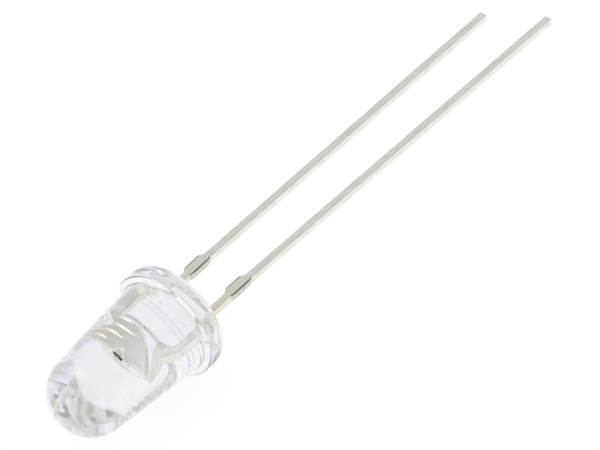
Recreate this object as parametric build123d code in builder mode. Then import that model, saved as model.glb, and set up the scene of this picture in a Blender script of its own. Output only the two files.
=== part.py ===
import os
from math import acos, atan2, cos, hypot, radians, sin, tan

from build123d import *

# A clear 5 mm light-emitting diode that lies on its side. The origin is the centre of the flange's
# back face, which seats on a circuit board. +Y runs along the leads, away from the dome, +X points
# to the anode and +Z is up. Sizes are in millimetres.

# Resin body
body_height = 8.64
barrel_root_diameter = 5.1
barrel_root_fillet = 0.14
dome_radius = 2.15
flange_reach = 0.39
flange_thickness = 1.0
flange_edge_radius = 0.09
flat_clearance = 0.03

# Back face, with the dish that the resin leaves as it shrinks and the collars where it climbs the leads
dish_diameter = 4.5
dish_depth = 0.35
collar_root_diameter = 1.3
collar_wall = 0.03
collar_rise = 0.12

# Lead sheet
sheet_thickness = 0.40
lead_pitch = 2.54
lead_width = 0.41
cathode_length = 25.75
anode_length = 27.35
cathode_lean = 1.0
anode_lean = 1.65

# Stubs of the dam bar that joined the leads. The punches that cut it stood a little off centre.
stub_start = 2.45
stub_root_length = 1.58
stub_slope_length = 0.26
stub_reach = 0.105
punch_shift = 0.05

# Heads of the leads in the resin, with distances across measured from the body's axis. Each has a
# waist on its outer side, which keys it into the resin.
head_top = 4.3
head_corner_radius = 0.03
waist_start = 2.2
waist_middle = 3.0
waist_reach = 1.05
waist_radius = 0.25
shoulder_radius = 0.16

# Anvil, the cathode's broad head
anvil_height = 1.93
anvil_outer_reach = 1.55
anvil_inner_reach = 1.15
anvil_foot_gap = 0.35

# Reflector cup, pressed into the anvil's top, off the body's axis on the cathode's side
cup_offset = 0.3
cup_rim_diameter = 1.04
cup_mouth_diameter = 0.88
cup_floor_diameter = 0.5
cup_root_diameter = 0.36
cup_rim_rise = 0.2
cup_depth = 0.22
cup_height = 0.63

# Coined grooves across the anvil's two faces. Each deepens slowly towards the dome and rises steeply
# at its end, and the reaches tell how near each comes to the body's axis.
groove_depth = 0.05
groove_run = 0.34
groove_rise = 0.05
groove_pitch = 0.5
groove_foot_margin = 0.1
groove_inner_reaches = (0.6, 0.28, 0.47, 0.8)

# Post, the anode's head, which leans towards the cup and leaves a slanted gap beside the anvil
post_tip_gap = 0.12
post_outer_reach = 1.45
post_foot_reach = 0.38
post_foot = 2.35
post_knee_reach = 0.5
post_knee = 2.9
post_shoulder = 2.05

# Die and its silver glue
die_side = 0.25
die_thickness = 0.15
glue_margin = 0.035
glue_thickness = 0.02

# Bond wire of gold, from the ball on the die to the stitch on the post
wire_diameter = 0.034
wire_sides = 6
ball_diameter = 0.09
ball_height = 0.03
ball_sides = 8
wire_neck_length = 0.16
wire_crown_rise = 0.05
wire_crown_reach = 0.3
wire_heel_rise = 0.12
wire_heel_run = 0.12
wire_stitch_length = 0.1

# Places worked out from the sizes above
barrel_root_radius = barrel_root_diameter / 2
flange_radius = barrel_root_radius + flange_reach
flat_offset = barrel_root_radius + flat_clearance
lead_offset = lead_pitch / 2
stub_end = stub_start + stub_root_length
anvil_foot = head_top - anvil_height
cup_rim = head_top + cup_rim_rise
cup_floor = cup_rim - cup_depth
glue_top = cup_floor + glue_thickness
die_top = glue_top + die_thickness
ball_top = die_top + ball_height
dome_centre = body_height - dome_radius
dish_radius = dish_diameter / 2
dish_curve_radius = (dish_radius**2 + dish_depth**2) / (2 * dish_depth)
collar_top_radius = hypot(lead_width, sheet_thickness) / 2 + collar_wall
post_tip_reach = anvil_inner_reach + post_tip_gap

# A plane that faces the tips, and one on the cup's axis that faces the dome
tips_plane = Plane(origin=(0, 0, 0), x_dir=(1, 0, 0), z_dir=(0, 1, 0))
cup_plane = Plane(origin=(-cup_offset, 0, 0), x_dir=(1, 0, 0), z_dir=(0, -1, 0))


def shank_outline(centre, length, lean):
    """The corners of a lead from its head in the resin to its cut end."""
    half = lead_width / 2
    drift = (length - stub_end) * tan(radians(lean))
    return [
        (centre - half, -waist_start),
        (centre - half, stub_end),
        (centre - half + drift, length),
        (centre + half + drift, length),
        (centre + half, stub_end),
        (centre + half, -waist_start),
    ]


def stub_outline(centre):
    """The corners of the dam bar's two stubs on a lead, with their sheared slopes."""
    half = lead_width / 2
    left, right = half + stub_reach + punch_shift, half + stub_reach - punch_shift
    return [
        (centre - half, stub_start),
        (centre - left, stub_start + stub_slope_length),
        (centre - left, stub_end - stub_slope_length),
        (centre - half, stub_end),
        (centre + half, stub_end),
        (centre + right, stub_end - stub_slope_length),
        (centre + right, stub_start + stub_slope_length),
        (centre + half, stub_start),
    ]


# Cathode lead: stamped sheet with a broad anvil, whose top holds the pressed reflector cup
cathode_waist = (-waist_reach, -waist_middle)
cathode_shoulder = (lead_width / 2 - lead_offset, -anvil_foot)
anvil_corners = [
    (-anvil_outer_reach, -head_top),
    (anvil_inner_reach, -head_top),
    (-anvil_foot_gap, -anvil_foot),
]
with BuildPart() as cathode_lead:
    with BuildSketch(Plane.XY) as cathode_face:
        with BuildLine():
            Polyline(*shank_outline(-lead_offset, cathode_length, cathode_lean), close=True)
        make_face()
        with BuildLine():
            Polyline(*stub_outline(-lead_offset), close=True)
        make_face()
        with BuildLine():
            Polyline(
                (-lead_offset - lead_width / 2, -waist_start),
                cathode_waist,
                *anvil_corners,
                cathode_shoulder,
                (lead_width / 2 - lead_offset, -waist_start),
                close=True,
            )
        make_face()
        fillet(cathode_face.vertices().sort_by_distance(cathode_waist)[0], waist_radius)
        fillet(cathode_face.vertices().sort_by_distance(cathode_shoulder)[0], shoulder_radius)
        for corner in anvil_corners:
            fillet(cathode_face.vertices().sort_by_distance(corner)[0], head_corner_radius)
    extrude(amount=sheet_thickness / 2, both=True)
    for number, inner_reach in enumerate(groove_inner_reaches):
        groove_bottom = -anvil_foot - groove_foot_margin - groove_pitch * number
        with BuildSketch(Plane.YZ.offset(-inner_reach)):
            with BuildLine():
                Polyline(
                    (groove_bottom + groove_run, sheet_thickness / 2),
                    (groove_bottom, sheet_thickness / 2 - groove_depth),
                    (groove_bottom - groove_rise, sheet_thickness / 2),
                    close=True,
                )
            make_face()
            mirror(about=Plane.XZ)
        extrude(amount=-anvil_outer_reach, mode=Mode.SUBTRACT)
    with BuildSketch(cup_plane.offset(cup_rim - cup_height)):
        Circle(cup_root_diameter / 2)
    with BuildSketch(cup_plane.offset(cup_rim)):
        Circle(cup_rim_diameter / 2)
    loft()
    with BuildSketch(cup_plane.offset(cup_floor)):
        Circle(cup_floor_diameter / 2)
    with BuildSketch(cup_plane.offset(cup_rim)):
        Circle(cup_mouth_diameter / 2)
    loft(mode=Mode.SUBTRACT)

# Anode lead: the same sheet, with the post that takes the bond wire
anode_waist = (waist_reach, -waist_middle)
anode_shoulder = (lead_offset - lead_width / 2, -post_shoulder)
post_corners = [
    (post_foot_reach, -post_foot),
    (post_tip_reach, -head_top),
    (post_outer_reach, -head_top),
]
with BuildPart() as anode_lead:
    with BuildSketch(Plane.XY) as anode_face:
        with BuildLine():
            Polyline(*shank_outline(lead_offset, anode_length, anode_lean), close=True)
        make_face()
        with BuildLine():
            Polyline(*stub_outline(lead_offset), close=True)
        make_face()
        with BuildLine():
            Polyline(
                (lead_offset + lead_width / 2, -post_shoulder),
                anode_shoulder,
                post_corners[0],
                (post_knee_reach, -post_knee),
                *post_corners[1:],
                anode_waist,
                (lead_offset + lead_width / 2, -waist_start),
                close=True,
            )
        make_face()
        fillet(anode_face.vertices().sort_by_distance(anode_waist)[0], waist_radius)
        fillet(anode_face.vertices().sort_by_distance(anode_shoulder)[0], shoulder_radius)
        for corner in post_corners:
            fillet(anode_face.vertices().sort_by_distance(corner)[0], head_corner_radius)
    extrude(amount=sheet_thickness / 2, both=True)

# Glue pad under the die
with BuildPart() as die_attach:
    with BuildSketch(cup_plane.offset(cup_floor)):
        Rectangle(die_side + 2 * glue_margin, die_side + 2 * glue_margin)
    extrude(amount=glue_thickness)

# Die, a sawn square of semiconductor
with BuildPart() as led_die:
    with BuildSketch(cup_plane.offset(glue_top)):
        Rectangle(die_side, die_side)
    extrude(amount=die_thickness)

# Bond wire: a ball on the die, a neck, a long slope over the cup's rim and a stitch on the post
stitch_level = head_top + wire_diameter / 2
stitch_end = (post_tip_reach + post_outer_reach + wire_stitch_length) / 2
stitch_start = stitch_end - wire_stitch_length
neck_top = ball_top + wire_neck_length
with BuildPart() as bond_wire:
    with BuildSketch(cup_plane.offset(die_top)):
        RegularPolygon(ball_diameter / 2, ball_sides, major_radius=False)
    extrude(amount=ball_height)
    with BuildLine():
        Polyline(
            (-cup_offset, -ball_top),
            (-cup_offset, -neck_top),
            (wire_crown_reach - cup_offset, -neck_top - wire_crown_rise),
            (stitch_start - wire_heel_run, -stitch_level - wire_heel_rise),
            (stitch_start, -stitch_level),
            (stitch_end, -stitch_level),
        )
    with BuildSketch(cup_plane.offset(ball_top)):
        RegularPolygon(wire_diameter / 2, wire_sides, major_radius=False, rotation=180 / wire_sides)
    sweep(transition=Transition.RIGHT)

# Resin body: flange, tapered barrel and dome cast in one around the leads' heads
root_distance = hypot(barrel_root_radius, dome_centre - flange_thickness)
root_angle = atan2(dome_centre - flange_thickness, barrel_root_radius)
dome_edge_angle = root_angle - acos(dome_radius / root_distance)
dome_edge = (dome_radius * cos(dome_edge_angle), dome_radius * sin(dome_edge_angle) - dome_centre)
with BuildPart() as lens:
    with BuildSketch(Plane.XY) as half_section:
        with BuildLine():
            Line((0, -body_height), (0, -dish_depth))
            RadiusArc((0, -dish_depth), (dish_radius, 0), -dish_curve_radius)
            Polyline(
                (dish_radius, 0),
                (flange_radius, 0),
                (flange_radius, -flange_thickness),
                (barrel_root_radius, -flange_thickness),
                dome_edge,
            )
            RadiusArc(dome_edge, (0, -body_height), dome_radius)
        make_face()
        flange_corners = half_section.vertices().group_by(Axis.X)[-1]
        root_corner = half_section.vertices().group_by(Axis.X)[-2]
        fillet(flange_corners, flange_edge_radius)
        fillet(root_corner, barrel_root_fillet)
    revolve(axis=Axis.Y)
    with BuildSketch(tips_plane.offset(-flange_thickness - barrel_root_fillet)):
        with Locations((-flat_offset, 0)):
            Rectangle(flange_radius, 2 * flange_radius, align=(Align.MAX, Align.CENTER))
    extrude(amount=flange_thickness + barrel_root_fillet, mode=Mode.SUBTRACT)
    for side in (1, -1):
        centre = side * lead_offset
        collar_root = (centre + side * collar_root_diameter / 2, -dish_depth)
        collar_top = (centre + side * collar_top_radius, collar_rise)
        with BuildSketch(Plane.XY):
            with BuildLine():
                Polyline(collar_top, (centre, collar_rise), (centre, -dish_depth), collar_root)
                RadiusArc(collar_root, collar_top, side * (dish_depth + collar_rise))
            make_face()
        revolve(axis=Axis(origin=(centre, 0, 0), direction=(0, 1, 0)))
    for held in (cathode_lead, anode_lead, die_attach, led_die, bond_wire):
        add(held.part, mode=Mode.SUBTRACT)

lens.part.label = "lens"
cathode_lead.part.label = "cathode_lead"
anode_lead.part.label = "anode_lead"
die_attach.part.label = "die_attach"
led_die.part.label = "led_die"
bond_wire.part.label = "bond_wire"

os.makedirs("parts", exist_ok=True)
export_step(lens.part, "parts/lens.step")
export_step(cathode_lead.part, "parts/cathode_lead.step")
export_step(anode_lead.part, "parts/anode_lead.step")
export_step(die_attach.part, "parts/die_attach.step")
export_step(led_die.part, "parts/led_die.step")
export_step(bond_wire.part, "parts/bond_wire.step")
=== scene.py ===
from math import acos, atan2, copysign, cos, degrees, exp, hypot, pi, radians, sin, tan

import bmesh
import bpy
from mathutils import Matrix, Vector


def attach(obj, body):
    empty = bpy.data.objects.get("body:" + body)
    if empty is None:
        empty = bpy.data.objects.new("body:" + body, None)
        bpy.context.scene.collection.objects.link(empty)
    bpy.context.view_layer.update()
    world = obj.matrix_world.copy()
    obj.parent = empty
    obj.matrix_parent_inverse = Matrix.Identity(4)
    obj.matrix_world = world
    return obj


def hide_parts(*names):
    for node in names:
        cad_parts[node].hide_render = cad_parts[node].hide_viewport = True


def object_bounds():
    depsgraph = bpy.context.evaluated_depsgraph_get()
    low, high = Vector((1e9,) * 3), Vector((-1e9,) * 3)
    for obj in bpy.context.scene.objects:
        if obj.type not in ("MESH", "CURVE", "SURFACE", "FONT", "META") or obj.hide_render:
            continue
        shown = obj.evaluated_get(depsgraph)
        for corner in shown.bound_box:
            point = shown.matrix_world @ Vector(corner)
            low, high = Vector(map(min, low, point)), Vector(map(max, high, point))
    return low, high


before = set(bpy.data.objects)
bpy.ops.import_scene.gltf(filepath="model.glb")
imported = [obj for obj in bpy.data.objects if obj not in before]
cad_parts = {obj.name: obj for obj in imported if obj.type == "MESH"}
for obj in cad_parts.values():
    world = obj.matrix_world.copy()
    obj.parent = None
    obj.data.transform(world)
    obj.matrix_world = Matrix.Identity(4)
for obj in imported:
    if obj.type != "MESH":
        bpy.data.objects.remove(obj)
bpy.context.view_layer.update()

# Lead sheet
# Both leads are stamped from one strip of mild steel, 0.4 mm thick. The punch rolls the edges over,
# and each piece is drawn in millimetres and scaled to metres at the end.
millimetre = 0.001
sheet_half = 0.2
lead_offset, lead_half = 1.27, 0.205
stub_start, stub_end, stub_slope = 2.45, 4.03, 0.26
bar_start, bar_end = stub_start + stub_slope, stub_end - stub_slope
stub_reach, punch_shift = 0.105, 0.05
rolled_edge, sharp_bend = 0.055, radians(25)
tinned_end, burr_width = 0.1, 0.08
# A face is square on to a direction where its normal has more than this along it, and a side of
# a head or of a stub where it has less than these through the sheet.
square_on, head_side, stub_side = 0.9, 0.6, 0.94


def shank(centre, length, lean):
    """Outline of a leg: down its left side, past the dam bar's stub, and back up its right side."""
    drift = (length - stub_end) * tan(radians(lean))
    sides = []
    for side in (-1, 1):
        edge = centre + side * lead_half
        stub = edge + side * stub_reach - punch_shift
        root, heel = (edge, stub_start), (edge, stub_end)
        sides.append([root, (stub, bar_start), (stub, bar_end), heel, (edge + drift, length)])
    return sides[0] + sides[1][::-1]


def stamp(outline):
    """Stamps a flat outline out of the sheet."""
    mesh = bmesh.new()
    corners = [mesh.verts.new((x, y, -sheet_half)) for x, y in outline]
    raised = bmesh.ops.extrude_face_region(mesh, geom=[mesh.faces.new(corners)])["geom"]
    moved = [item for item in raised if isinstance(item, bmesh.types.BMVert)]
    bmesh.ops.translate(mesh, verts=moved, vec=(0, 0, 2 * sheet_half))
    bmesh.ops.recalc_face_normals(mesh, faces=mesh.faces)
    return mesh


def ease(mesh, edges, reach, steps):
    """Rounds edges, from this far on each side of them."""
    bmesh.ops.bevel(
        mesh, geom=edges, offset=reach, affect="EDGES", segments=steps, profile=0.5, material=-1
    )


def round_corner(mesh, corner, reach):
    """Rounds the edge through the sheet that stands nearest to a corner of the outline."""
    upright = [edge for edge in mesh.edges if abs(edge.verts[0].co.z - edge.verts[1].co.z) > sheet_half]
    nearest = min(upright, key=lambda edge: (edge.verts[0].co.xy - Vector(corner)).length)
    ease(mesh, [nearest], reach, steps=6)


def roll_edges(mesh, kept=()):
    """Rolls a stamping's edges over, but for those whose middle is in a kept box."""
    chosen = []
    for edge in mesh.edges:
        middle = (edge.verts[0].co + edge.verts[1].co) / 2
        inside = any(x0 < middle.x < x1 and y0 < middle.y < y1 for x0, y0, x1, y1 in kept)
        if edge.calc_face_angle() > sharp_bend and not inside:
            chosen.append(edge)
    ease(mesh, chosen, rolled_edge, steps=4)


def score(mesh, faces, place, normal):
    """Splits some of a mesh's faces where a plane passes through them."""
    edges = dict.fromkeys(edge for face in faces for edge in face.edges)
    verts = dict.fromkeys(vert for face in faces for vert in face.verts)
    bmesh.ops.bisect_plane(mesh, geom=[*verts, *edges, *faces], plane_co=place, plane_no=normal)


def plate(mesh, centre, length):
    """Tin on the leg, silver on the head and its torn sides, bare steel on the stubs and the tip."""
    bare, smooth, torn = (plated_strip.index(skin) for skin in (torn_steel, head_silver, torn_silver))
    for level in (0, bar_start, bar_end):
        score(mesh, mesh.faces[:], (0, level, 0), (0, 1, 0))
    burrs = [centre - punch_shift + side * (lead_half + stub_reach - burr_width) for side in (-1, 1)]
    for burr in burrs:
        bar = [face for face in mesh.faces if bar_start < face.calc_center_median().y < bar_end]
        score(mesh, bar, (burr, 0, 0), (1, 0, 0))
    for face in mesh.faces:
        middle, through = face.calc_center_median(), abs(face.normal.z)
        in_stub = stub_start + tinned_end < middle.y < stub_end - tinned_end
        in_burr = not burrs[0] < middle.x < burrs[1]
        on_tip = middle.y > length - rolled_edge and face.normal.y > square_on
        if on_tip or in_stub and (through < stub_side or in_burr):
            face.material_index = bare
        elif middle.y < 0:
            face.material_index = torn if through < head_side else smooth


def make_piece(mesh, name, materials, sharp=32):
    """Makes an object in metres that rides on the part, with edges past an angle left sharp."""
    bmesh.ops.scale(mesh, verts=mesh.verts, vec=3 * (millimetre,))
    data = bpy.data.meshes.new(name)
    mesh.to_mesh(data)
    mesh.free()
    for polygon in data.polygons:
        polygon.use_smooth = True
    data.set_sharp_from_angle(angle=radians(sharp))
    for material in materials:
        data.materials.append(material)
    piece = bpy.data.objects.new(name, data)
    bpy.context.scene.collection.objects.link(piece)
    flat = piece.modifiers.new("flat_faces", "WEIGHTED_NORMAL")
    flat.keep_sharp = True
    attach(piece, "root")
    return piece


def start_material(name):
    """Gives a new material, its tree, its surface shader and Object coordinates in millimetres."""
    material = bpy.data.materials.new(name)
    material.use_nodes = True
    tree = material.node_tree
    shader = tree.nodes["Principled BSDF"]
    place = tree.nodes.new("ShaderNodeTexCoord")
    scale = tree.nodes.new("ShaderNodeMapping")
    scale.inputs["Scale"].default_value = 3 * (1 / millimetre,)
    tree.links.new(place.outputs["Object"], scale.inputs["Vector"])
    return material, tree, shader, scale.outputs["Vector"]


def grain(tree, millimetres, cells, detail=3):
    """A noise with this many cells to the millimetre along each axis."""
    spread = tree.nodes.new("ShaderNodeMapping")
    spread.inputs["Scale"].default_value = cells
    noise = tree.nodes.new("ShaderNodeTexNoise")
    noise.inputs["Scale"].default_value = 1
    noise.inputs["Detail"].default_value = detail
    tree.links.new(millimetres, spread.inputs["Vector"])
    tree.links.new(spread.outputs["Vector"], noise.inputs["Vector"])
    return noise.outputs["Fac"]


# Nearly all of a noise lies between these two values.
noise_span = (0.3, 0.7)


def rescale(tree, value, start, end, low=0, high=1, curve="LINEAR"):
    """Turns one range of a value into another, and holds it past both ends."""
    ends = tree.nodes.new("ShaderNodeMapRange")
    ends.interpolation_type = curve
    ends.inputs["From Min"].default_value = start
    ends.inputs["From Max"].default_value = end
    ends.inputs["To Min"].default_value = low
    ends.inputs["To Max"].default_value = high
    tree.links.new(value, ends.inputs["Value"])
    return ends.outputs["Result"]


def reckon(tree, operation, *values):
    """One sum on sockets and numbers."""
    step = tree.nodes.new("ShaderNodeMath")
    step.operation = operation
    for value, socket in zip(values, step.inputs):
        if isinstance(value, float):
            socket.default_value = value
        else:
            tree.links.new(value, socket)
    return step.outputs[0]


def mottle(tree, noise, dark, light, span=noise_span):
    """A colour that a noise moves between two."""
    ramp = tree.nodes.new("ShaderNodeValToRGB")
    for stop, place, colour in zip(ramp.color_ramp.elements, span, (dark, light)):
        stop.position = place
        stop.color = (*colour, 1)
    tree.links.new(noise, ramp.inputs["Fac"])
    return ramp.outputs["Color"]


def blend(tree, amount, first, second, mode="MIX"):
    """A mix of two colours, each a socket or three numbers."""
    mix = tree.nodes.new("ShaderNodeMix")
    mix.data_type = "RGBA"
    mix.blend_type = mode
    tree.links.new(amount, mix.inputs["Factor"])
    for colour, socket in ((first, mix.inputs[6]), (second, mix.inputs[7])):
        if isinstance(colour, tuple):
            socket.default_value = (*colour, 1)
        else:
            tree.links.new(colour, socket)
    return mix.outputs[2]


def colour_with(tree, colour, shader):
    """Feeds a colour to the surface."""
    tree.links.new(colour, shader.inputs["Base Color"])


def dull(tree, noise, low, high, shader):
    """Lets a noise move the surface's roughness between two values."""
    tree.links.new(rescale(tree, noise, *noise_span, low, high), shader.inputs["Roughness"])


def roughen(tree, noise, height, shader):
    """Raises the surface by a noise, to a height in metres."""
    bump = tree.nodes.new("ShaderNodeBump")
    bump.inputs["Strength"].default_value = 1
    bump.inputs["Distance"].default_value = height
    tree.links.new(noise, bump.inputs["Height"])
    tree.links.new(bump.outputs["Normal"], shader.inputs["Normal"])


# Tin melts into a smooth skin that keeps the drawn strip's long fine lines and a faint mottle. The
# oven that sets the resin leaves it straw-coloured near the body, most of all on the anode.
straw_end, straw_full = 7.0, 0.5
straw_side, straw_least = 1.2, 0.35
bright_tin, tree, shader, millimetres = start_material("bright_tin")
shader.inputs["Metallic"].default_value = 1.0
tin = mottle(tree, grain(tree, millimetres, (7, 1.5, 7)), (0.745, 0.74, 0.705), (0.86, 0.855, 0.82))
apart = tree.nodes.new("ShaderNodeSeparateXYZ")
tree.links.new(millimetres, apart.inputs["Vector"])
tarnish = rescale(tree, apart.outputs["Y"], straw_end, straw_full, curve="SMOOTHSTEP")
uneven = rescale(tree, apart.outputs["X"], -straw_side, straw_side, straw_least)
amount = reckon(tree, "MULTIPLY", tarnish, uneven)
colour_with(tree, blend(tree, amount, tin, (1.0, 0.975, 0.83), "MULTIPLY"), shader)
dull(tree, grain(tree, millimetres, (9, 3, 9)), 0.14, 0.24, shader)
roughen(tree, grain(tree, millimetres, (34, 1.5, 34), detail=2), 6e-7, shader)

# The heads are plated with silver before the resin is cast round them.
head_silver, tree, shader, millimetres = start_material("head_silver")
shader.inputs["Metallic"].default_value = 1.0
silver = mottle(tree, grain(tree, millimetres, (4, 3, 4)), (0.89, 0.885, 0.82), (0.94, 0.935, 0.88))
colour_with(tree, silver, shader)
dull(tree, grain(tree, millimetres, (7, 5, 7)), 0.12, 0.22, shader)
roughen(tree, grain(tree, millimetres, (24, 3, 24), detail=2), 3e-7, shader)

# The punch leaves the heads' sides torn, and the silver over them glints.
torn_silver, tree, shader, millimetres = start_material("torn_silver")
shader.inputs["Metallic"].default_value = 1.0
silver = mottle(tree, grain(tree, millimetres, (9, 9, 4)), (0.88, 0.87, 0.80), (0.97, 0.965, 0.90))
colour_with(tree, silver, shader)
dull(tree, grain(tree, millimetres, (12, 12, 6)), 0.16, 0.3, shader)
roughen(tree, grain(tree, millimetres, (13, 13, 5), detail=2), 6e-6, shader)

# The steel shows bare and torn where the dam bar and the tips were cut off after the plating. A
# ragged dark band along the cut's two edges is painted shade, for the shadow in the sheared edge.
edge_shade_start, edge_shade_full, edge_shade_wander = 0.20, 0.24, 0.12
torn_steel, tree, shader, millimetres = start_material("torn_steel")
shader.inputs["Metallic"].default_value = 1.0
steel = mottle(tree, grain(tree, millimetres, (8, 8, 3)), (0.56, 0.55, 0.51), (0.80, 0.79, 0.75))
# Painted shade: the steel darkens towards the sheet's two faces in a ragged band, for the cut edge's
# shadow.
apart = tree.nodes.new("ShaderNodeSeparateXYZ")
tree.links.new(millimetres, apart.inputs["Vector"])
from_middle = reckon(tree, "ABSOLUTE", apart.outputs["Z"])
ragged_edge_shade = reckon(tree, "MULTIPLY_ADD", grain(tree, millimetres, (4, 4, 1)), edge_shade_wander, from_middle)
burr = rescale(tree, ragged_edge_shade, edge_shade_start, edge_shade_full, curve="SMOOTHSTEP")
colour_with(tree, blend(tree, burr, steel, (0.24, 0.21, 0.17)), shader)
dull(tree, grain(tree, millimetres, (11, 11, 5)), 0.3, 0.5, shader)
roughen(tree, grain(tree, millimetres, (26, 26, 4), detail=4), 7e-6, shader)

plated_strip = [bright_tin, torn_steel, head_silver, torn_silver]

# Cathode lead
# The shorter lead. Its head is a broad anvil, coined with grooves that the resin grips, and a cup
# that throws the die's light forward is pressed into the anvil's top.
cathode_length, cathode_lean = 25.75, 1.0
head_top, anvil_foot = -4.3, -2.37
anvil_left, anvil_right = -1.55, 1.15
waist_start, waist_reach, waist_middle = -2.2, 1.05, -3.0
waist_round, shoulder_round, toe_round = 0.13, 0.16, 0.06
anvil_waist = (-waist_reach, waist_middle)
anvil_shoulder = (lead_half - lead_offset, anvil_foot)
anvil_toe = (-0.35, anvil_foot)
cup_centre = -0.3
notch_half, notch_depth, notch_margin = 0.24, 0.05, 0.01
notch_left, notch_right = cup_centre - notch_half, cup_centre + notch_half
notch_floor = head_top + notch_depth
cathode = stamp(
    [(-lead_offset - lead_half, waist_start)]
    + shank(-lead_offset, cathode_length, cathode_lean)
    + [
        anvil_shoulder,
        anvil_toe,
        (anvil_right, head_top),
        (notch_right, head_top),
        (notch_right, notch_floor),
        (notch_left, notch_floor),
        (notch_left, head_top),
        (anvil_left, head_top),
        anvil_waist,
    ]
)
round_corner(cathode, anvil_waist, waist_round)
round_corner(cathode, anvil_shoulder, shoulder_round)
round_corner(cathode, anvil_toe, toe_round)
notch_box = (
    notch_left - notch_margin,
    head_top - notch_margin,
    notch_right + notch_margin,
    notch_floor + notch_margin,
)
roll_edges(cathode, [notch_box])

# Each groove falls away gently from the leads' side and ends in a short steep flank. Their inner
# ends stop at different distances from the body's axis.
groove_depth, groove_run, groove_rise, groove_fade = 0.05, 0.34, 0.05, 0.06
groove_margin, groove_pitch, groove_steps = 0.1, 0.5, 5
groove_inner_ends = (0.6, 0.28, 0.47, 0.8)
for number, inner_end in enumerate(groove_inner_ends):
    bottom = anvil_foot - groove_margin - number * groove_pitch
    levels = [bottom + groove_run * step / groove_steps for step in range(groove_steps + 1)]
    for level in [*levels, bottom - groove_rise]:
        head = [face for face in cathode.faces if min(vert.co.y for vert in face.verts) < waist_start]
        score(cathode, head, (0, level, 0), (0, 1, 0))
    for reach in (inner_end, inner_end + groove_fade):
        strip = [
            face
            for face in cathode.faces
            if bottom - groove_rise < face.calc_center_median().y < bottom + groove_run
            and abs(face.normal.z) > square_on
        ]
        score(cathode, strip, (-reach, 0, 0), (1, 0, 0))
    for vert in cathode.verts:
        if vert.co.y > bottom:
            along = max(0.0, 1 - (vert.co.y - bottom) / groove_run) ** 2
        else:
            along = max(0.0, 1 - (bottom - vert.co.y) / groove_rise)
        across = min(1.0, max(0.0, (-inner_end - vert.co.x) / groove_fade))
        height = sheet_half - groove_depth * along * across
        if abs(vert.co.z) > height:
            vert.co.z = copysign(height, vert.co.z)


def spin_section(section, steps):
    """Spins a half section round the body's axis into a closed form."""
    mesh = bmesh.new()
    points = [mesh.verts.new((x, y, 0)) for x, y in section]
    for first, second in zip(points, points[1:]):
        mesh.edges.new((first, second))
    bmesh.ops.spin(
        mesh,
        geom=mesh.verts[:] + mesh.edges[:],
        cent=(0, 0, 0),
        axis=(0, 1, 0),
        angle=2 * pi,
        steps=steps,
        use_merge=True,
    )
    bmesh.ops.remove_doubles(mesh, verts=mesh.verts, dist=0.0001)
    return mesh


# The cup is drawn out of the anvil by a round punch, so its rim stands a little above the top.
cup_rise, cup_depth, cup_height = 0.2, 0.22, 0.63
cup_rim = head_top - cup_rise
cup_floor, cup_root = cup_rim + cup_depth, cup_rim + cup_height
mouth_radius, rim_radius, floor_radius, root_radius = 0.44, 0.52, 0.25, 0.18
rim_round = 0.025
cup = spin_section(
    [
        (0, cup_floor),
        (floor_radius, cup_floor),
        (mouth_radius, cup_rim),
        (rim_radius, cup_rim),
        (root_radius, cup_root),
        (0, cup_root),
    ],
    steps=64,
)
bmesh.ops.recalc_face_normals(cup, faces=cup.faces)
bends = [edge for edge in cup.edges if edge.calc_face_angle() > sharp_bend]
ease(cup, bends, rim_round, steps=3)
bmesh.ops.translate(cup, verts=cup.verts, vec=(cup_centre, 0, 0))
for face in cup.faces:
    face.material_index = plated_strip.index(head_silver)
cup_mesh = bpy.data.meshes.new("cup")
cup.to_mesh(cup_mesh)
cup.free()
plate(cathode, -lead_offset, cathode_length)
cathode.from_mesh(cup_mesh)
cathode_lead = make_piece(cathode, "cathode_stamping", plated_strip)
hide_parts("cathode_lead")

# Anode lead
# The longer lead. Its head is the post that takes the bond wire. It leans towards the cup and leaves
# a slanted gap beside the anvil.
anode_length, anode_lean = 27.35, 1.65
post_left, post_right = 1.27, 1.45
post_knee, post_foot = (0.5, -2.9), (0.38, -2.35)
post_waist = (waist_reach, waist_middle)
post_shoulder = (lead_offset - lead_half, -2.05)
anode = stamp(
    shank(lead_offset, anode_length, anode_lean)
    + [
        (lead_offset + lead_half, waist_start),
        post_waist,
        (post_right, head_top),
        (post_left, head_top),
        post_knee,
        post_foot,
        post_shoulder,
    ]
)
round_corner(anode, post_waist, waist_round)
round_corner(anode, post_shoulder, shoulder_round)
roll_edges(anode)
plate(anode, lead_offset, anode_length)
anode_lead = make_piece(anode, "anode_stamping", plated_strip)
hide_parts("anode_lead")

# Die glue
# A dab of silver-filled epoxy holds the die in the cup. It squeezes out into a low round-edged pad.
glue_half, glue_thickness = 0.16, 0.02
glue_corner, glue_crest = 0.06, 0.012


def block(half, thickness, foot):
    """A square block on the cup's axis, from this level towards the dome."""
    mesh = bmesh.new()
    bmesh.ops.create_cube(mesh, size=1)
    bmesh.ops.scale(mesh, verts=mesh.verts, vec=(2 * half, thickness, 2 * half))
    bmesh.ops.translate(mesh, verts=mesh.verts, vec=(cup_centre, foot - thickness / 2, 0))
    return mesh


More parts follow.
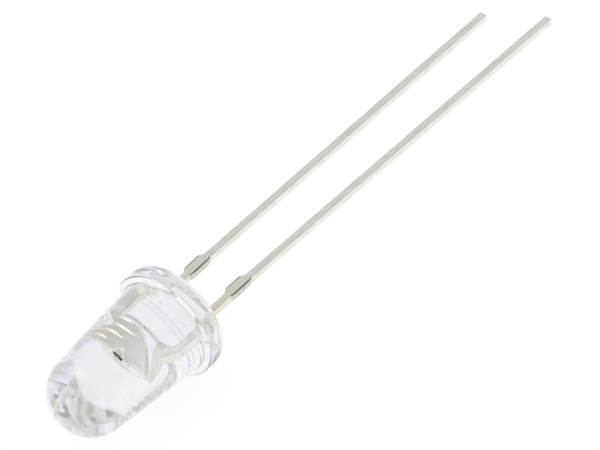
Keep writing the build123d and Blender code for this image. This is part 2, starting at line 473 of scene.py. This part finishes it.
glue = block(glue_half, glue_thickness, cup_floor)
glue_middle = cup_floor - glue_thickness / 2
sides = [edge for edge in glue.edges if abs(edge.verts[0].co.y - edge.verts[1].co.y) > glue_thickness / 2]
ease(glue, sides, glue_corner, steps=5)
crest = [edge for edge in glue.edges if all(vert.co.y < glue_middle for vert in edge.verts)]
ease(glue, crest, glue_crest, steps=3)
silver_glue, tree, shader, millimetres = start_material("silver_glue")
shader.inputs["Metallic"].default_value = 0.6
paste = mottle(tree, grain(tree, millimetres, (60, 60, 60)), (0.52, 0.51, 0.49), (0.74, 0.73, 0.71))
colour_with(tree, paste, shader)
dull(tree, grain(tree, millimetres, (90, 90, 90)), 0.4, 0.65, shader)
roughen(tree, grain(tree, millimetres, (80, 80, 80)), 4e-6, shader)
die_attach = make_piece(glue, "glue_pad", [silver_glue])
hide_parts("die_attach")

# Die
# A dark sawn block of semiconductor stands on the glue, with a round gold pad on its top for the
# wire's ball.
die_half, die_thickness, die_edge = 0.125, 0.15, 0.006
die_foot = cup_floor - glue_thickness
die_top = die_foot - die_thickness
pad_radius = 0.058
die = block(die_half, die_thickness, die_foot)
ease(die, die.edges[:], die_edge, steps=2)
semiconductor, tree, shader, millimetres = start_material("semiconductor")
shader.inputs["Roughness"].default_value = 0.25
flattened = tree.nodes.new("ShaderNodeMapping")
flattened.inputs["Location"].default_value = (-cup_centre, 0, 0)
flattened.inputs["Scale"].default_value = (1, 0, 1)
tree.links.new(millimetres, flattened.inputs["Vector"])
from_axis = tree.nodes.new("ShaderNodeVectorMath")
from_axis.operation = "LENGTH"
tree.links.new(flattened.outputs["Vector"], from_axis.inputs[0])
pad = reckon(tree, "LESS_THAN", from_axis.outputs["Value"], pad_radius)
tree.links.new(pad, shader.inputs["Metallic"])
saw_marks = grain(tree, millimetres, (40, 12, 40))
sawn = mottle(tree, saw_marks, (0.05, 0.05, 0.05), (0.10, 0.10, 0.09), span=(0.35, 0.65))
colour_with(tree, blend(tree, pad, sawn, (0.86, 0.66, 0.32)), shader)
led_die = make_piece(die, "sawn_die", [semiconductor])
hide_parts("led_die")

# Bond wire
# Gold wire, 34 microns thick, welded by heat and sound: a ball on the die, a neck, a loop over the
# cup's rim and a flattened stitch on the post.
wire_half = 0.017
ball_radius, ball_height = 0.045, 0.03
ball_top = die_top - ball_height
stitch_level = head_top - wire_half
route = [
    (cup_centre, ball_top + 0.01),
    (cup_centre, ball_top - 0.12),
    (cup_centre + 0.02, ball_top - 0.2),
    (cup_centre + 0.25, ball_top - 0.22),
    (0.6, stitch_level - 0.27),
    (1.19, stitch_level - 0.12),
    (1.28, stitch_level),
    (1.40, stitch_level),
]
thread = bpy.data.curves.new("loop", "CURVE")
thread.dimensions = "3D"
spline = thread.splines.new("NURBS")
spline.points.add(len(route) - 1)
for point, (x, y) in zip(spline.points, route):
    point.co = (x, y, 0, 1)
spline.order_u = 3
spline.use_endpoint_u = True
thread.bevel_depth = wire_half
thread.bevel_resolution = 3
thread.resolution_u = 6
thread.use_fill_caps = True
loop = bpy.data.objects.new("loop", thread)
wire = bmesh.new()
wire.from_mesh(bpy.data.meshes.new_from_object(loop))
bpy.data.objects.remove(loop)
bmesh.ops.create_uvsphere(
    wire,
    u_segments=20,
    v_segments=10,
    radius=1,
    matrix=Matrix.Translation((cup_centre, die_top - ball_height / 2, 0))
    @ Matrix.Diagonal((ball_radius, ball_height / 2, ball_radius, 1)),
)
bmesh.ops.recalc_face_normals(wire, faces=wire.faces)
drawn_gold, tree, shader, millimetres = start_material("drawn_gold")
shader.inputs["Metallic"].default_value = 1.0
gold = mottle(tree, grain(tree, millimetres, (50, 50, 50)), (0.90, 0.80, 0.58), (0.95, 0.87, 0.68))
colour_with(tree, gold, shader)
dull(tree, grain(tree, millimetres, (70, 70, 70)), 0.15, 0.3, shader)
bond_wire = make_piece(wire, "gold_wire", [drawn_gold])
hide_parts("bond_wire")

# Resin body
# Clear epoxy, cast in a steel mould with its dome down, so the flange's back face is the free
# surface of the pour: it shrinks into a shallow dish and climbs each lead in a small collar.
body_height, dome_radius = 8.64, 2.15
barrel_radius, barrel_draft = 2.55, 4
flange_reach, flange_thickness = 0.39, 1.0
flat_clearance = 0.03
flange_radius = barrel_radius + flange_reach
flat_offset = barrel_radius + flat_clearance
edge_round, root_round = 0.09, 0.14
dish_radius, dish_depth, dish_rings = 2.25, 0.35, 64
collar_rise, collar_run = 0.35, 0.35
dome_centre = body_height - dome_radius
barrel_height = dome_centre - flange_thickness
dome_edge = degrees(
    atan2(barrel_height, barrel_radius) - acos(dome_radius / hypot(barrel_radius, barrel_height))
)


def arc(centre, radius, start, end, steps):
    """Points of a circular arc, from one angle to another, in degrees."""
    turns = [radians(start + (end - start) * step / steps) for step in range(steps + 1)]
    return [(centre[0] + radius * cos(turn), centre[1] + radius * sin(turn)) for turn in turns]


def collar_height(x, z):
    """How far the resin climbs at a point of the back face, near the two leads."""
    height = 0.0
    for side in (-1, 1):
        across = max(0.0, abs(x - side * lead_offset) - lead_half)
        along = max(0.0, abs(z) - sheet_half)
        height += collar_rise * exp(-hypot(across, along) / collar_run)
    return height


corner = flange_radius - edge_round
root_centre = (barrel_radius + root_round, -flange_thickness - root_round)
rings = [dish_radius * (1 - ring / dish_rings) for ring in range(dish_rings + 1)]
resin = spin_section(
    [
        (0, -body_height),
        *arc((0, -dome_centre), dome_radius, -90, dome_edge, steps=56)[1:],
        *arc(root_centre, root_round, 180 - barrel_draft, 90, steps=8),
        *arc((corner, edge_round - flange_thickness), edge_round, -90, 0, steps=6),
        *arc((corner, -edge_round), edge_round, 0, 90, steps=6),
        *[(ring, -dish_depth * (1 - (ring / dish_radius) ** 2)) for ring in rings],
    ],
    steps=192,
)
for vert in resin.verts:
    if vert.co.y > -flange_thickness and hypot(vert.co.x, vert.co.z) < dish_radius:
        vert.co.y += collar_height(vert.co.x, vert.co.z)
# The flange has a flat on the cathode's side, a hair outside the barrel.
cut = bmesh.ops.bisect_plane(
    resin,
    geom=resin.verts[:] + resin.edges[:] + resin.faces[:],
    plane_co=(-flat_offset, 0, 0),
    plane_no=(-1, 0, 0),
    clear_outer=True,
)
rim = [item for item in cut["geom_cut"] if isinstance(item, bmesh.types.BMEdge)]
bmesh.ops.contextual_create(resin, geom=rim)
bmesh.ops.recalc_face_normals(resin, faces=resin.faces)

clear_epoxy, tree, shader, millimetres = start_material("clear_epoxy")
shader.inputs["Base Color"].default_value = (0.91, 0.905, 0.94, 1)
shader.inputs["Transmission Weight"].default_value = 1.0
shader.inputs["IOR"].default_value = 1.53
shader.inputs["Roughness"].default_value = 0.0
depth = tree.nodes.new("ShaderNodeVolumeAbsorption")
depth.inputs["Color"].default_value = (0.38, 0.33, 0.59, 1)
depth.inputs["Density"].default_value = 14
tree.links.new(depth.outputs["Volume"], tree.nodes["Material Output"].inputs["Volume"])
lens = make_piece(resin, "resin_body", [clear_epoxy], sharp=20)
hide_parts("lens")

# Floor
# A plain pale table top, wide enough for any view. It keeps the object's soft shadow, and glows
# white to the camera, in the metal and through the resin.
floor_clearance, floor_half = 0.00002, 0.6
floor_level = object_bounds()[0][2] - floor_clearance
table = bmesh.new()
bmesh.ops.create_grid(table, x_segments=1, y_segments=1, size=floor_half)
bmesh.ops.translate(table, verts=table.verts, vec=(0, 0, floor_level))
floor_data = bpy.data.meshes.new("floor")
table.to_mesh(floor_data)
table.free()
floor = bpy.data.objects.new("floor", floor_data)
bpy.context.scene.collection.objects.link(floor)
pale_table, tree, shader, millimetres = start_material("pale_table")
shader.inputs["Roughness"].default_value = 0.8
shader.inputs["Specular IOR Level"].default_value = 0.0
shader.inputs["Emission Color"].default_value = (1, 1, 1, 1)
light_path = tree.nodes.new("ShaderNodeLightPath")
seen = light_path.outputs["Is Camera Ray"]
for ray in ("Is Glossy Ray", "Is Transmission Ray"):
    seen = reckon(tree, "MAXIMUM", seen, light_path.outputs[ray])
glow = reckon(tree, "MULTIPLY", seen, 0.85)
tree.links.new(glow, shader.inputs["Emission Strength"])
colour_with(tree, blend(tree, seen, (0.8, 0.8, 0.8), (0.22, 0.22, 0.22)), shader)
floor_data.materials.append(pale_table)

# World
# A white tent, greyer and warmer towards its top. A darker panel behind the leads draws their far
# edges, and a bright patch overhead lights the coined grooves. The camera sees it plain white.
world = bpy.data.worlds.new("tent")
bpy.context.scene.world = world
world.use_nodes = True
tree = world.node_tree
light_path = tree.nodes.new("ShaderNodeLightPath")
direction = tree.nodes.new("ShaderNodeTexCoord").outputs["Generated"]


def patch(toward, edge, core, strength):
    """How bright the tent is round one direction, with a patch's edge and core in degrees from it."""
    aim = tree.nodes.new("ShaderNodeVectorMath")
    aim.operation = "DOT_PRODUCT"
    aim.inputs[1].default_value = Vector(toward).normalized()
    tree.links.new(direction, aim.inputs[0])
    outer, inner = cos(radians(edge)), cos(radians(core))
    return rescale(tree, aim.outputs["Value"], outer, inner, 1, strength, curve="SMOOTHSTEP")


parts = tree.nodes.new("ShaderNodeSeparateXYZ")
tree.links.new(direction, parts.inputs["Vector"])
tones = tree.nodes.new("ShaderNodeValToRGB")
foot, peak = tones.color_ramp.elements
foot.position, foot.color = 0.25, (1, 1, 1, 1)
peak.position, peak.color = 1.0, (0.64, 0.61, 0.51, 1)
tones.color_ramp.elements.new(0.68).color = (0.74, 0.74, 0.73, 1)
tree.links.new(parts.outputs["Z"], tones.inputs["Fac"])
tent = tones.outputs["Color"]
dark_panel = patch((0.66, 0.54, 0.52), edge=24, core=8, strength=0.5)
skylight = patch((-0.325, -0.169, 0.93), edge=15, core=5, strength=3.5)
for level in (dark_panel, skylight):
    lit = tree.nodes.new("ShaderNodeVectorMath")
    lit.operation = "SCALE"
    tree.links.new(tent, lit.inputs[0])
    tree.links.new(level, lit.inputs["Scale"])
    tent = lit.outputs["Vector"]
background = tree.nodes["Background"]
background.inputs["Strength"].default_value = 1.0
tent = blend(tree, light_path.outputs["Is Camera Ray"], tent, (1, 1, 1))
tree.links.new(tent, background.inputs["Color"])

# Lamps
# One wide and weak lamp stands where the bright patch is, and gives the shadow its direction.
key_data = bpy.data.lights.new("key", "AREA")
key_data.energy = 0.1
key_data.shape = "DISK"
key_data.size = 0.3
key = bpy.data.objects.new("key", key_data)
key.location = (-0.125, -0.065, 0.358)
key.rotation_euler = (Vector((0, 0, 0)) - key.location).to_track_quat("-Z", "Y").to_euler()
bpy.context.scene.collection.objects.link(key)

# Camera
# A long lens looks down past the dome, with the leads running away to the upper right.
azimuth, elevation, roll = radians(40.57), radians(42.91), radians(3.84)
distance, aim_right, aim_up = 0.4, 0.005965, 0.004348
back = Vector((sin(azimuth) * cos(elevation), -cos(azimuth) * cos(elevation), sin(elevation)))
level = Vector((cos(azimuth), sin(azimuth), 0))
upright = back.cross(level)
right = level * cos(roll) - upright * sin(roll)
up = level * sin(roll) + upright * cos(roll)
camera_data = bpy.data.cameras.new("camera")
camera_data.sensor_width = 36
camera_data.lens = 499.7
camera_data.clip_start = 0.01
camera = bpy.data.objects.new("camera", camera_data)
place = Matrix.Translation(back * distance + right * aim_right + up * aim_up)
camera.matrix_world = place @ Matrix((right, up, back)).transposed().to_4x4()
bpy.context.scene.collection.objects.link(camera)
bpy.context.scene.camera = camera
bpy.context.scene.view_settings.view_transform = "Standard"

# Light is thrown many times between the resin's walls before it leaves.
bpy.context.scene.cycles.max_bounces = 32
bpy.context.scene.cycles.glossy_bounces = 24
bpy.context.scene.cycles.transmission_bounces = 32
